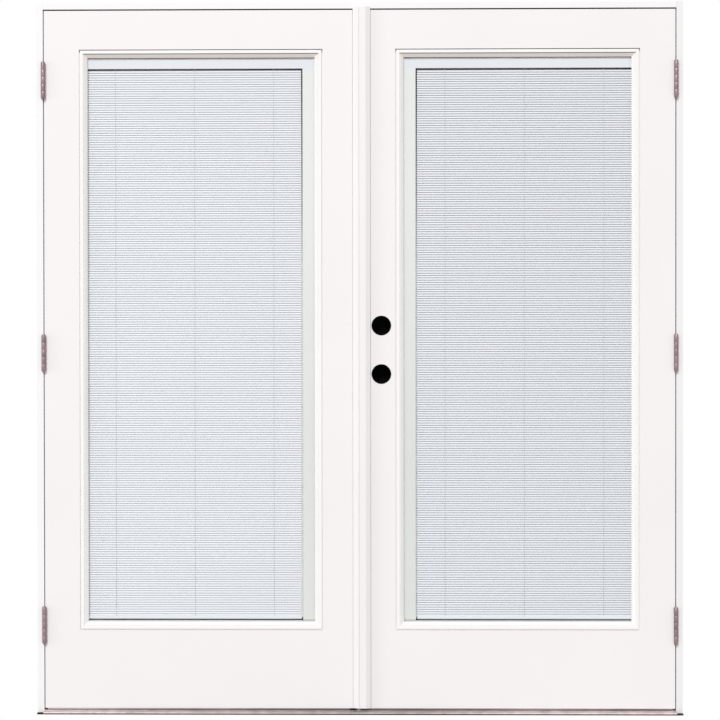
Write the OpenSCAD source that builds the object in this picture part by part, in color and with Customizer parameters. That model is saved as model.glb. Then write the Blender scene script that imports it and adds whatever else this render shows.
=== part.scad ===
// Pair of glazed outswing doors in a jamb frame, with slat blinds sealed between the panes.
// X runs across the opening, Y from outside (negative) to inside, Z up.
// The origin is the middle of the sill pan's underside, at the middle of the jamb depth.
// Pieces of one leaf are drawn for the right-hand leaf and mirrored for the left-hand one.

/* [Leaves] */
// Width of each leaf
leaf_w = 905; // [850:1:960]
// Height of each leaf
leaf_h = 2012; // [1950:1:2100]
// Thickness of each leaf
leaf_t = 44.5; // [43:0.5:48]
// Gap round a leaf at its hinge edge and at the head
edge_gap = 3; // [2.5:0.1:4]
// Gap between the two leaves
meeting_gap = 7; // [6:0.1:9]
// Height of a leaf's lower edge above the floor
leaf_lift = 17; // [16:0.5:24]
// Angle that the meeting edges are planed back, in degrees
edge_bevel = 3; // [2:0.5:4]

/* [Frame] */
// Depth of the jambs through the wall
jamb_d = 116; // [110:1:140]
// Thickness of the jambs and head in the rabbet
jamb_t = 19; // [17:0.5:26]
// Width of the stop that a leaf closes on
stop_w = 12.7; // [11.5:0.1:16]
// Room for the compressed seal between a leaf and its stop
seal_room = 4.5; // [3.5:0.1:6]
// Height of the pan under the whole sill
pan_h = 4; // [3:0.5:6]
// Reach of the threshold in front of the jambs
nose_reach = 20; // [15:1:35]
// Height of the threshold's deck, above the pan
deck_h = 8.5; // [7.5:0.5:10]
// Height of the threshold's inner upstand, above the pan
upstand_h = 31; // [27:0.5:36]

/* [Glazing] */
// Gap between a bore cap and the lite frame
lock_stile_gap = 9.9; // [6:0.1:20]
// Width of the hinge stile beside the lite frame
hinge_stile_w = 101.5; // [90:0.5:120]
// Height of the rail above the lite frame
upper_rail_h = 112; // [100:0.5:140]
// Height of the rail below the lite frame
lower_rail_h = 225.5; // [200:0.5:260]
// Width of the groove between the leaf and the lite frame
groove_w = 2.5; // [1.5:0.1:3.5]
// Depth of the rebate that the lite frame's lip lies in
rebate_d = 4; // [3:0.5:6]
// Distance of the lip's inner edge from the rebate's edge
lip_w = 12; // [10:0.5:14]
// Width of the lite frame's sloping bezel
bezel_w = 11.5; // [10:0.5:15]
// How far the lite frame's lip stands proud of the leaf
lite_proud = 0.6; // [0.2:0.1:2]
// Width of the rebate round the leaf's cut-out
lite_lap = 12; // [11:0.5:14]
// Thickness of the sealed glass unit
unit_t = 25; // [22:0.5:27]
// Thickness of each pane
pane_t = 3.2; // [3:0.1:4]
// Width of the spacer bar round the panes
spacer_w = 8; // [6:0.5:9]
// Height of the spacer's upper bar
head_bar_h = 14; // [11:0.5:18]
// Height of the spacer's lower bar
sill_bar_h = 12; // [10:0.5:18]

/* [Blind] */
// Height of the headrail
headrail_h = 26; // [22:0.5:36]
// Depth of the headrail and the operator channel
headrail_d = 16; // [14:0.5:17]
// Width of the operator channel beside the slats
channel_w = 36; // [32:0.5:42]
// Wall of the headrail and the operator channel
channel_wall = 1.5; // [1:0.1:2]
// Spacing of the slats
slat_pitch = 6.66; // [6.4:0.02:7]
// Width of a slat
slat_w = 8; // [7.4:0.1:8.4]
// Thickness of a slat
slat_t = 0.35; // [0.3:0.05:0.5]
// Height of a slat's crown
slat_crown = 0.6; // [0.4:0.05:0.8]
// Tilt of the closed slats from level, in degrees
slat_tilt = 70; // [64:1:76]
// Distance of the outer ladder cords from the slats' ends
ladder_inset = 80; // [60:1:120]
// Width of a ladder cord
cord_w = 1; // [0.8:0.1:1.4]
// Height of the bottom rail
rail_h = 7.5; // [6:0.5:10]
// Depth of the bottom rail
rail_d = 11; // [9:0.5:12]
// Width of the dark line left round the slats
shadow_gap = 4; // [3:0.1:4.5]
// Height of the operator's slider
slider_h = 70; // [50:1:90]
// Travel of the slider and of the bottom rail
raise_travel = 1400; // [1200:1:1420]

/* [Hinges] */
// Height of a hinge
hinge_h = 101.6; // [90:0.1:115]
// Depth of a hinge leaf let into the door
hinge_d = 36; // [32:0.5:40]
// Thickness of a hinge leaf
hinge_t = 2.5; // [2.2:0.1:3]
// Radius of a hinge leaf's inner corners
hinge_corner_r = 15.9; // [8:0.1:16]
// Diameter of the hinge barrel
barrel_dia = 12.7; // [12:0.1:13.4]
// Diameter of the hinge pin
pin_dia = 8; // [7:0.1:8.4]
// Distance of the pin in front of the leaf's face
pin_reach = 7; // [6.8:0.1:8]
// Distance of the upper hinge's middle below the leaf's top
upper_hinge_drop = 201; // [150:1:260]
// Distance of the lower hinge's middle above the leaf's lower edge
lower_hinge_lift = 240; // [180:1:300]
// Diameter of a hinge screw's head
screw_head_dia = 9; // [8:0.1:10]
// Diameter of a hinge screw's shank
screw_dia = 4.8; // [4:0.1:5.5]
// Length of a hinge screw
screw_len = 16; // [12:0.5:18]

/* [Locking] */
// Diameter of the two lock bores
bore_dia = 54; // [50:0.1:56]
// Distance of the lock bores from the meeting edge
backset = 60.3; // [58:0.1:64]
// Height of the lower lock bore above the leaf's lower edge
latch_lift = 964.3; // [900:0.1:1050]
// Distance between the two lock bores
bore_spacing = 139.7; // [100:0.1:160]
// Diameter of the holes from the meeting edge to the lock bores
edge_bore_dia = 25.4; // [22:0.1:27]
// Height of a bore cap
cap_h = 3.5; // [3:0.5:5]
// Length of a flush bolt
bolt_len = 240; // [200:1:300]
// Diameter of a flush bolt
bolt_dia = 10; // [9:0.1:11]
// Travel of a flush bolt
bolt_throw = 13; // [11:0.5:14]

/* [Meeting strip] */
// Width of the strip on the passive leaf
passive_strip_w = 18; // [16:0.5:26]
// Width of the strip on the active leaf
active_strip_w = 32.5; // [26:0.5:36]
// How far the strip stands proud of the leaves
strip_proud = 10; // [8:0.5:13]
// Width of the strip's bevels
strip_bevel = 13.5; // [8:0.5:14]
// Lap of the strip over the head
strip_lap = 6; // [4:0.5:10]

/* [Hidden] */
$fn = 48;
touch = 0.01;
air = 0.3;
let_in_air = 0.1;
screw_air = 0.1;

// Planes of the frame and the leaves
front_y = -jamb_d / 2;
back_y = jamb_d / 2;
leaf_back_y = front_y + leaf_t;
stop_y = leaf_back_y + seal_room;
leaf_x0 = meeting_gap / 2;
leaf_x1 = leaf_x0 + leaf_w;
rabbet_x = leaf_x1 + edge_gap;
stop_x = rabbet_x - stop_w;
outer_x = rabbet_x + jamb_t;
leaf_z0 = leaf_lift;
leaf_z1 = leaf_z0 + leaf_h;
head_z = leaf_z1 + edge_gap;
top_z = head_z + jamb_t;
middle_y = front_y + leaf_t / 2;
deck_z = pan_h + deck_h;
upstand_z = pan_h + upstand_h;

// Planes of the glazing
cap_rim_w = 4;
cap_rim_r = bore_dia / 2 + air;
cap_r = cap_rim_r + cap_rim_w;
lite_x0 = leaf_x0 + backset + cap_r + lock_stile_gap;
lite_x1 = leaf_x1 - hinge_stile_w;
lite_z0 = leaf_z0 + lower_rail_h;
lite_z1 = leaf_z1 - upper_rail_h;
lite_w = lite_x1 - lite_x0;
lite_h = lite_z1 - lite_z0;
pane_edge_gap = 2;
pane_inset = lite_lap + pane_edge_gap;
pane_x0 = lite_x0 + pane_inset;
pane_x1 = lite_x1 - pane_inset;
pane_z0 = lite_z0 + pane_inset;
pane_z1 = lite_z1 - pane_inset;
glass_y0 = middle_y - unit_t / 2;
glass_y1 = middle_y + unit_t / 2;
cavity_y0 = glass_y0 + pane_t;
cavity_y1 = glass_y1 - pane_t;
glass_setback = (leaf_t - unit_t) / 2;

// Planes of the blind
blind_y = middle_y - air;
head_x0 = pane_x0 + spacer_w;
head_x1 = pane_x1 - spacer_w;
headrail_z1 = pane_z1 - head_bar_h;
headrail_z0 = headrail_z1 - headrail_h;
sill_bar_z = pane_z0 + sill_bar_h;
channel_x1 = head_x0 + channel_w;
slat_end_gap = 0.5;
slat_x0 = channel_x1 + shadow_gap;
slat_x1 = head_x1 - slat_end_gap;
rail_room = 4;
rail_z0 = sill_bar_z + rail_room;
rail_z1 = rail_z0 + rail_h;
slat_half_h = slat_w / 2 * sin(slat_tilt) + slat_t * cos(slat_tilt);
slat_top = headrail_z0 - shadow_gap;
first_slat_z = slat_top - slat_half_h;
last_slat_z = rail_z1 + air + slat_half_h;
slat_steps = round((first_slat_z - last_slat_z) / slat_pitch);
slat_drop = (first_slat_z - last_slat_z) / slat_steps;
slat_lower_y = -slat_w / 2 * cos(slat_tilt) - slat_t * sin(slat_tilt);
slat_upper_y = slat_w / 2 * cos(slat_tilt);
cord_air = 0.1;

// Places of the hinges and locks
pin_x = (leaf_x1 + rabbet_x) / 2;
pin_y = front_y - pin_reach;
pin_air = 0.05;
knuckle_count = 5;
knuckle_h = hinge_h / knuckle_count;
upper_hinge_z = leaf_z1 - upper_hinge_drop;
lower_hinge_z = leaf_z0 + lower_hinge_lift;
hinge_zs = [lower_hinge_z, (lower_hinge_z + upper_hinge_z) / 2, upper_hinge_z];
bore_x = leaf_x0 + backset;
latch_z = leaf_z0 + latch_lift;
bore_zs = [latch_z, latch_z + bore_spacing];
bolt_inset = 11;
bolt_x = leaf_x0 + bolt_inset;
bolt_recess = 1;
bolt_slot_room = 4;
bolt_slot = bolt_dia + bolt_slot_room;

WHITE = [0.97, 0.96, 0.96];
BLIND_WHITE = [0.90, 0.92, 0.93];
CHANNEL_GREY = [0.88, 0.90, 0.88];
NICKEL = [0.58, 0.52, 0.51];
ALUMINIUM = [0.70, 0.64, 0.62];
DARK = [0.10, 0.10, 0.11];
SEAL_GREY = [0.55, 0.55, 0.56];
CLEAR = [0.85, 0.92, 0.92, 0.35];

LEAF_PARTS = [
    "slab", "exterior_lite_frame", "interior_lite_frame", "exterior_pane", "interior_pane",
    "glass_spacer", "light_seal", "headrail", "operator_channel", "slats", "ladder_cords",
    "bottom_rail", "operator_track", "operator_slider", "astragal", "sweep", "door_hinges",
    "door_hinge_screws", "frame_hinges", "frame_hinge_screws", "hinge_pins", "jamb", "weatherstrip"
];
SINGLE_PARTS = [
    "head_jamb", "sill_pan", "threshold", "threshold_seal", "head_weatherstrip", "bolt_strike",
    "top_flush_bolt", "bottom_flush_bolt", "bolt_guides", "latch_strikes", "bore_caps", "meeting_seal"
];

// Meeting edge's X at a depth, as planed back from the face
function edge_x(y) = leaf_x0 + (y - front_y) * tan(edge_bevel);

// Box between two corners
module block(low, high) {
    translate(low) cube(high - low);
}

// Draws its children for one leaf, mirrored for the left-hand one
module on_side(side) {
    if (side == "left") mirror([1, 0, 0]) children();
    else children();
}

// Upright prism of a plan outline
module upright(z0, z1) {
    translate([0, 0, z0]) linear_extrude(z1 - z0) children();
}

// Prism along X of an outline in depth and height
module along_x(x0, x1) {
    translate([x0, 0, 0]) rotate([90, 0, 90]) linear_extrude(x1 - x0) children();
}

// Rectangular tube frame in elevation, from two pairs of corners
module wall_ring(outer, inner, y0, y1) {
    difference() {
        block([outer[0], y0, outer[1]], [outer[2], y1, outer[3]]);
        block([inner[0], y0 - 1, inner[1]], [inner[2], y1 + 1, inner[3]]);
    }
}

// Frame members

module jamb(side) {
    color(WHITE) on_side(side) difference() {
        upright(pan_h, top_z) polygon([
            [rabbet_x, front_y], [outer_x, front_y], [outer_x, back_y],
            [stop_x, back_y], [stop_x, stop_y], [rabbet_x, stop_y]
        ]);
        upright(upstand_z, head_z - stop_w) seal_kerf();
        for (z = hinge_zs) {
            frame_hinge_plate(z, let_in_air);
            frame_screws(z, screw_air);
        }
    }
}

// Groove that holds a side seal, in plan
module seal_kerf() {
    kerf_w = 2.6;
    kerf_d = 7.5;
    translate([stop_x + stop_w / 2 - kerf_w / 2, stop_y - touch]) square([kerf_w, kerf_d]);
}

module weatherstrip(side) {
    color(SEAL_GREY) on_side(side) upright(upstand_z, head_z - stop_w)
        translate([stop_x, 0]) seal_section();
}

// Bulb seal with its tongue: X is across the stop, Y is into it
module seal_section() {
    bulb_w = stop_w - 2.4;
    tongue_w = 2.4;
    tongue_d = 7;
    corner = 1.4;
    face = leaf_back_y + air;
    left = stop_w / 2 - bulb_w / 2;
    right = stop_w / 2 + bulb_w / 2;
    polygon([
        [left, stop_y], [left, face + corner], [left + corner, face], [right - corner, face],
        [right, face + corner], [right, stop_y], [stop_w / 2 + tongue_w / 2, stop_y],
        [stop_w / 2 + tongue_w / 2, stop_y + tongue_d], [stop_w / 2 - tongue_w / 2, stop_y + tongue_d],
        [stop_w / 2 - tongue_w / 2, stop_y]
    ]);
}

module head_jamb() {
    pocket_roof = 2;
    color(WHITE) difference() {
        union() {
            block([-rabbet_x, front_y, head_z], [rabbet_x, stop_y, top_z]);
            along_x(-stop_x, stop_x) polygon([
                [front_y, head_z], [stop_y, head_z], [stop_y, head_z - stop_w], [back_y, head_z - stop_w],
                [back_y, top_z], [front_y, top_z]
            ]);
        }
        along_x(-stop_x, stop_x) head_seal_turn() seal_kerf();
        strike_plate(let_in_air);
        bolt_pocket(head_z - 1, top_z - pocket_roof);
    }
}

// Turns an outline drawn for the right-hand stop so that it lies on the head's stop
module head_seal_turn() {
    multmatrix([[0, 1, 0, 0], [1, 0, 0, head_z - rabbet_x], [0, 0, 1, 0], [0, 0, 0, 1]]) children();
}

module head_weatherstrip() {
    color(SEAL_GREY) along_x(-stop_x, stop_x) head_seal_turn() translate([stop_x, 0]) seal_section();
}

module sill_pan() {
    pan_setback = 6;
    pan_front = front_y - nose_reach + pan_setback;
    color(DARK) block([-outer_x, pan_front, 0], [outer_x, back_y, pan_h]);
}

module threshold() {
    nose_y = front_y - nose_reach;
    nose_z = pan_h + deck_h / 2;
    nose_edge = 2;
    ramp_y = nose_y + nose_edge;
    deck_fall = 1;
    ramp_rise = deck_h / 2 - deck_fall;
    deck_fall_d = 6;
    level_y = front_y + deck_fall_d;
    ridge_edge = 2;
    ridge_w = 14;
    slope_w = 10;
    ridge_y = stop_y + ridge_w;
    slope_y = ridge_y + slope_w;
    slope_fall = 4;
    back_edge = 4;
    rib_pitch = nose_reach / 4;
    rib_cut = 1;
    color(ALUMINIUM) difference() {
        along_x(-rabbet_x, rabbet_x) polygon([
            [nose_y, pan_h], [nose_y, pan_h + deck_h / 4], [ramp_y, nose_z],
            [front_y, nose_z + ramp_rise], [level_y, deck_z], [stop_y, deck_z],
            [stop_y, upstand_z - ridge_edge], [stop_y + ridge_edge, upstand_z], [ridge_y, upstand_z],
            [slope_y, upstand_z - slope_fall], [back_y - back_edge, upstand_z - slope_fall - ridge_edge],
            [back_y, upstand_z - slope_fall - ridge_edge - back_edge], [back_y, pan_h]
        ]);
        for (side = ["left", "right"])
            on_side(side) block([stop_x, stop_y, 0], [rabbet_x + 1, back_y + 1, upstand_z + 1]);
        for (i = [1 : 3]) {
            rib_y = ramp_y + i * rib_pitch;
            rib_z = nose_z + (rib_y - ramp_y) / (front_y - ramp_y) * ramp_rise;
            block([-rabbet_x - 1, rib_y - rib_cut / 2, rib_z - rib_cut],
                  [rabbet_x + 1, rib_y + rib_cut / 2, deck_z + 1]);
        }
        bolt_pocket(pan_h - 1, deck_z + 1);
    }
}

module threshold_seal() {
    seal_z0 = deck_z + 5.5;
    seal_z1 = upstand_z - 3;
    corner = 1.4;
    face = leaf_back_y + air;
    color(SEAL_GREY) along_x(-rabbet_x, rabbet_x) polygon([
        [stop_y, seal_z0], [face + corner, seal_z0], [face, seal_z0 + corner], [face, seal_z1 - corner],
        [face + corner, seal_z1], [stop_y, seal_z1]
    ]);
}

// Square pocket that takes a flush bolt, on the passive leaf's side
module bolt_pocket(z0, z1) {
    block([-bolt_x - bolt_slot / 2, middle_y - bolt_slot / 2, z0],
          [-bolt_x + bolt_slot / 2, middle_y + bolt_slot / 2, z1]);
}

// Plate let into the head round the bolt's pocket
module strike_plate(gap) {
    plate_l = 46;
    plate_w = 24;
    plate_t = 2;
    block([-bolt_x - plate_l / 2 - gap, middle_y - plate_w / 2 - gap, head_z - (gap > 0 ? 1 : 0)],
          [-bolt_x + plate_l / 2 + gap, middle_y + plate_w / 2 + gap, head_z + plate_t]);
}

module bolt_strike() {
    color(NICKEL) difference() {
        strike_plate(0);
        bolt_pocket(head_z - 1, head_z + 3);
    }
}

// Hinges

// Flat hinge leaf in depth and height, with round inner corners
module hinge_outline(gap) {
    r = hinge_corner_r;
    d = hinge_d + gap;
    h = hinge_h + 2 * gap;
    translate([front_y, -h / 2]) union() {
        square([d - r, h]);
        translate([0, r]) square([d, h - 2 * r]);
        translate([d - r, r]) circle(r);
        translate([d - r, h - r]) circle(r);
    }
}

module frame_hinge_plate(z, gap) {
    translate([0, 0, z]) along_x(rabbet_x - (gap > 0 ? 1 : 0), rabbet_x + hinge_t) hinge_outline(gap);
}

module door_hinge_plate(z, gap) {
    translate([0, 0, z]) along_x(leaf_x1 - hinge_t, leaf_x1 + (gap > 0 ? 1 : 0)) hinge_outline(gap);
}

// Knuckles of one hinge leaf, each with the tongue that joins it to the plate
module knuckles(z, first, plate_x) {
    for (i = [first : 2 : knuckle_count - 1]) {
        z0 = z - hinge_h / 2 + i * knuckle_h + air / 2;
        z1 = z0 + knuckle_h - air;
        translate([pin_x, pin_y, z0]) cylinder(d = barrel_dia, h = z1 - z0);
        block([plate_x, pin_y, z0], [plate_x + hinge_t, front_y + touch, z1]);
    }
}

module pin_hole(z) {
    translate([pin_x, pin_y, z - hinge_h]) cylinder(d = pin_dia + 2 * pin_air, h = 2 * hinge_h);
}

// Places of the four screws on a hinge leaf, as depth and height from its middle
function screw_places() = [
    for (row = [-1, 1], column = [0, 1])
        [front_y + hinge_d * (column == 0 ? 0.30 : 0.62), row * hinge_h * (column == 0 ? 0.38 : 0.16)]
];

// Countersunk screw along X, head face at X = 0
module hinge_screw(gap) {
    head_r = screw_head_dia / 2 + gap;
    shank_r = screw_dia / 2 + gap;
    taper = head_r - shank_r;
    face = gap > 0 ? -1 : 0;
    rotate([0, 90, 0]) rotate_extrude() polygon([
        [0, face], [head_r, face], [head_r, 0], [shank_r, taper], [shank_r, screw_len + gap],
        [0, screw_len + gap]
    ]);
}

module frame_screws(z, gap) {
    for (place = screw_places()) translate([rabbet_x, place[0], z + place[1]]) hinge_screw(gap);
}

module door_screws(z, gap) {
    for (place = screw_places())
        translate([leaf_x1, place[0], z + place[1]]) mirror([1, 0, 0]) hinge_screw(gap);
}

module frame_hinges(side) {
    color(NICKEL) on_side(side) for (z = hinge_zs) difference() {
        union() {
            frame_hinge_plate(z, 0);
            knuckles(z, 0, rabbet_x);
        }
        pin_hole(z);
        frame_screws(z, screw_air);
    }
}

module door_hinges(side) {
    color(NICKEL) on_side(side) for (z = hinge_zs) difference() {
        union() {
            door_hinge_plate(z, 0);
            knuckles(z, 1, leaf_x1 - hinge_t);
        }
        pin_hole(z);
        door_screws(z, screw_air);
    }
}

// Pin with a button head on top and a ball tip below
module hinge_pins(side) {
    head_r = barrel_dia / 2 - 0.4;
    head_h = 3;
    color(NICKEL) on_side(side) for (z = hinge_zs) translate([pin_x, pin_y, z - hinge_h / 2]) {
        translate([0, 0, -head_h]) cylinder(r1 = head_r - 1.5, r2 = head_r, h = head_h);
        cylinder(d = pin_dia, h = hinge_h);
        translate([0, 0, hinge_h]) cylinder(r1 = head_r, r2 = head_r - 1.5, h = head_h);
    }
}

module frame_hinge_screws(side) {
    color(NICKEL) on_side(side) for (z = hinge_zs) frame_screws(z, 0);
}

module door_hinge_screws(side) {
    color(NICKEL) on_side(side) for (z = hinge_zs) door_screws(z, 0);
}

// Leaves

module slab(side) {
    color(WHITE) on_side(side) difference() {
        upright(leaf_z0, leaf_z1) polygon([
            [leaf_x0, front_y], [leaf_x1, front_y], [leaf_x1, leaf_back_y],
            [edge_x(leaf_back_y), leaf_back_y]
        ]);
        block([lite_x0 + lite_lap, front_y - 1, lite_z0 + lite_lap],
              [lite_x1 - lite_lap, leaf_back_y + 1, lite_z1 - lite_lap]);
        block([lite_x0, front_y - 1, lite_z0], [lite_x1, front_y + rebate_d, lite_z1]);
        block([lite_x0, leaf_back_y - rebate_d, lite_z0], [lite_x1, leaf_back_y + 1, lite_z1]);
        for (z = hinge_zs) {
            door_hinge_plate(z, let_in_air);
            door_screws(z, screw_air);
        }
        if (side == "right") lock_bores();
        else passive_edge_cuts();
    }
}

module lock_bores() {
    for (z = bore_zs) {
        translate([bore_x, front_y - 1, z]) rotate([-90, 0, 0]) cylinder(d = bore_dia, h = leaf_t + 2);
        translate([leaf_x0 - 1, middle_y, z]) rotate([0, 90, 0]) cylinder(d = edge_bore_dia, h = backset);
    }
}

// Cuts in the passive leaf's meeting edge for its bolts and strikes
module passive_edge_cuts() {
    for (top = [true, false]) {
        bolt_channel(top);
        guide_plate(top, let_in_air);
    }
    for (z = bore_zs) {
        latch_plate(z, let_in_air);
        latch_pocket(z);
    }
}

// Height of a flush bolt's outer end, and the way from there into the leaf
function bolt_end(top) = top ? leaf_z1 : leaf_z0;
function inward(top) = top ? -1 : 1;

// Block let into the meeting edge at a leaf's end, between two distances from that end
module edge_block(top, from, to, x0, x1, w) {
    z0 = bolt_end(top) + inward(top) * from;
    z1 = bolt_end(top) + inward(top) * to;
    block([x0, middle_y - w / 2, min(z0, z1)], [x1, middle_y + w / 2, max(z0, z1)]);
}

bolt_air = 0.4;
bolt_end_room = 6;
guide_end = 10;
guide_rim = 7;
bolt_channel_len = bolt_recess + bolt_len + bolt_end_room;
guide_len = bolt_channel_len + guide_end;
guide_w = bolt_dia + 2 * guide_rim;
guide_t = 2;
guide_x = edge_x(middle_y + guide_w / 2);
thumb_at = bolt_len * 0.72;
thumb_l = 22;
thumb_w = 7;

module bolt_channel(top) {
    edge_block(top, -1, bolt_channel_len, guide_x, bolt_x + bolt_dia / 2 + bolt_air,
               bolt_dia + 2 * bolt_air);
}

// Cover plate over a bolt's channel
module guide_plate(top, gap) {
    edge_block(top, -gap, guide_len + gap, guide_x - (gap > 0 ? 4 : 0), guide_x + guide_t,
               guide_w + 2 * gap);
}

module bolt_guides() {
    color(NICKEL) on_side("left") for (top = [true, false]) difference() {
        guide_plate(top, 0);
        edge_block(top, thumb_at - thumb_l / 2 - bolt_throw - 1, thumb_at + thumb_l / 2 + 1,
                   guide_x - 1, guide_x + guide_t + 1, thumb_w + 1);
    }
}

// Round rod with a thumb piece that comes through the guide plate's slot
module flush_bolt(top) {
    thumb_out = 1;
    chamfer = 2;
    color(NICKEL) on_side("left") union() {
        translate([bolt_x, middle_y, bolt_end(top) + inward(top) * bolt_recess])
            mirror([0, 0, top ? 1 : 0]) rotate_extrude() polygon([
                [0, 0], [bolt_dia / 2 - chamfer, 0], [bolt_dia / 2, chamfer], [bolt_dia / 2, bolt_len],
                [0, bolt_len]
            ]);
        edge_block(top, thumb_at - thumb_l / 2, thumb_at + thumb_l / 2, guide_x - thumb_out, bolt_x,
                   thumb_w);
    }
}

module top_flush_bolt() {
    flush_bolt(true);
}

module bottom_flush_bolt() {
    flush_bolt(false);
}

latch_plate_h = 57;
latch_plate_w = 28;
latch_plate_t = 2;
latch_x = edge_x(middle_y + latch_plate_w / 2);
latch_hole_w = 15;
latch_hole_h = 27;

module latch_plate(z, gap) {
    block([latch_x - (gap > 0 ? 4 : 0), middle_y - latch_plate_w / 2 - gap, z - latch_plate_h / 2 - gap],
          [latch_x + latch_plate_t, middle_y + latch_plate_w / 2 + gap, z + latch_plate_h / 2 + gap]);
}

module latch_pocket(z) {
    pocket_d = 24;
    block([latch_x - 1, middle_y - latch_hole_w / 2, z - latch_hole_h / 2],
          [latch_x + pocket_d, middle_y + latch_hole_w / 2, z + latch_hole_h / 2]);
}

module latch_strikes() {
    color(NICKEL) on_side("left") for (z = bore_zs) difference() {
        latch_plate(z, 0);
        latch_pocket(z);
    }
}

// Hollow black caps that cover the lock bores on the inside
module bore_caps() {
    wall = 1.5;
    edge = 1;
    color(DARK) for (z = bore_zs) translate([bore_x, leaf_back_y, z]) rotate([-90, 0, 0])
        rotate_extrude() polygon([
            [0, cap_h - wall], [cap_rim_r, cap_h - wall], [cap_rim_r, 0], [cap_r, 0],
            [cap_r, cap_h - edge], [cap_r - edge, cap_h], [0, cap_h]
        ]);
}

module astragal(side) {
    seam = 0.4;
    edge_t = 2.5;
    strip_w = side == "right" ? active_strip_w : passive_strip_w;
    strip_y = front_y - strip_proud;
    color(WHITE) on_side(side) difference() {
        upright(leaf_z0 + 1, head_z + strip_lap) polygon([
            [seam / 2, front_y], [seam / 2, strip_y], [strip_w - strip_bevel, strip_y],
            [strip_w, front_y - edge_t], [strip_w, front_y]
        ]);
        block([0, front_y - 0.5, leaf_z1], [strip_w + 1, front_y + 1, head_z + strip_lap + 1]);
    }
}

// Bulb seal on the active leaf's meeting edge
module meeting_seal() {
    seal_y0 = front_y + 2;
    seal_y1 = seal_y0 + 6;
    tip_x = air - leaf_x0 + 0.5;
    color(SEAL_GREY) upright(leaf_z0, leaf_z1) polygon([
        [edge_x(seal_y0), seal_y0], [edge_x(seal_y1), seal_y1], [tip_x + 2, seal_y1],
        [tip_x, (seal_y0 + seal_y1) / 2 + 1], [tip_x, (seal_y0 + seal_y1) / 2 - 1], [tip_x + 2, seal_y0]
    ]);
}

// Finned seal under a leaf
module sweep(side) {
    sweep_y0 = front_y + 4;
    sweep_y1 = leaf_back_y - 4;
    base_t = 1.5;
    fin_t = 1.2;
    fin_z = deck_z + 2 * air;
    fin_count = 4;
    sweep_end = 6;
    sweep_x0 = side == "left" ? bolt_x + bolt_slot : edge_x(leaf_back_y) + sweep_end;
    step = (sweep_y1 - sweep_y0 - fin_t) / (fin_count - 1);
    color(SEAL_GREY) on_side(side) along_x(sweep_x0, leaf_x1 - sweep_end) {
        translate([sweep_y0, leaf_z0 - base_t]) square([sweep_y1 - sweep_y0, base_t]);
        for (i = [0 : fin_count - 1])
            translate([sweep_y0 + i * step, fin_z]) square([fin_t, leaf_z0 - base_t - fin_z + touch]);
    }
}

// Glazing

lite_leg_air = 0.5;
lite_step = 1.5;
lite_step_w = 1.8;
bead_line_d = 1.8;
lite_round = 1.5;
lip_edge = 0.8;
step_h = lite_proud - lite_step;
bezel_slant = (bezel_w - lite_step_w) / (step_h + glass_setback);

// Outline of a block from edge to edge, from one side's insets and heights
function both_sides(span, insets) = concat(
    insets,
    [for (i = [len(insets) - 1 : -1 : 0]) [span - insets[i][0], insets[i][1]]]
);

// Block facing up whose four sides all follow the same insets and heights
module tapered_block(insets) {
    intersection() {
        rotate([90, 0, 90]) linear_extrude(lite_w) polygon(both_sides(lite_h, insets));
        translate([0, lite_h, 0]) rotate([90, 0, 0]) linear_extrude(lite_h)
            polygon(both_sides(lite_w, insets));
    }
}

// Block over the lite frame's plane, let in from its edges and standing on a height
module inset_block(inset, height) {
    translate([inset, inset, height]) cube([lite_w - inset * 2, lite_h - inset * 2, glass_setback]);
}

// Whole lite frame in its own plane, facing up: rounded lip and leg, less the funnel and a bead line
module lite_ring() {
    leg = lite_lap + lite_leg_air;
    difference() {
        union() {
            tapered_block([
                [groove_w, -rebate_d], [groove_w, lite_proud - lite_round],
                [groove_w + lite_round * 0.3, lite_proud - lite_round * 0.3],
                [groove_w + lite_round, lite_proud]
            ]);
            tapered_block([[leg, -glass_setback], [leg, touch - rebate_d]]);
        }
        tapered_block([
            [lip_w + bezel_w + bezel_slant, -glass_setback - 1], [lip_w + lite_step_w, step_h],
            [lip_w, step_h], [lip_w, lite_proud - lip_edge], [lip_w - lip_edge, lite_proud],
            [lip_w - lip_edge, lite_proud + 1]
        ]);
        difference() {
            inset_block(lip_w, step_h - bead_line_d);
            inset_block(lip_w + lite_step_w, step_h - bead_line_d * 2);
        }
    }
}

module exterior_lite_frame(side) {
    color(WHITE) on_side(side) translate([lite_x0, front_y, lite_z0]) rotate([90, 0, 0]) lite_ring();
}

module interior_lite_frame(side) {
    color(WHITE) on_side(side)
        translate([lite_x0, leaf_back_y, lite_z0]) mirror([0, 1, 0]) rotate([90, 0, 0]) lite_ring();
}

module pane(side, y0) {
    color(CLEAR) on_side(side) block([pane_x0, y0, pane_z0], [pane_x1, y0 + pane_t, pane_z1]);
}

module exterior_pane(side) {
    pane(side, glass_y0);
}

module interior_pane(side) {
    pane(side, cavity_y1);
}

module glass_spacer(side) {
    color(SEAL_GREY) on_side(side) wall_ring(
        [pane_x0, pane_z0, pane_x1, pane_z1], [head_x0, sill_bar_z, head_x1, headrail_z1],
        cavity_y0, cavity_y1
    );
}

// Dark strip behind the slats' ends, the first slat and the bottom rail
module light_seal(side) {
    seal_t = 2;
    hidden = 2;
    color(DARK) on_side(side) wall_ring(
        [channel_x1, sill_bar_z, head_x1, headrail_z0],
        [slat_x0 + hidden, rail_z0 + hidden, slat_x1 - hidden, slat_top - hidden],
        cavity_y1 - seal_t, cavity_y1
    );
}

// Blind

blind_front_y = blind_y - headrail_d / 2;
blind_back_y = blind_y + headrail_d / 2;

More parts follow.
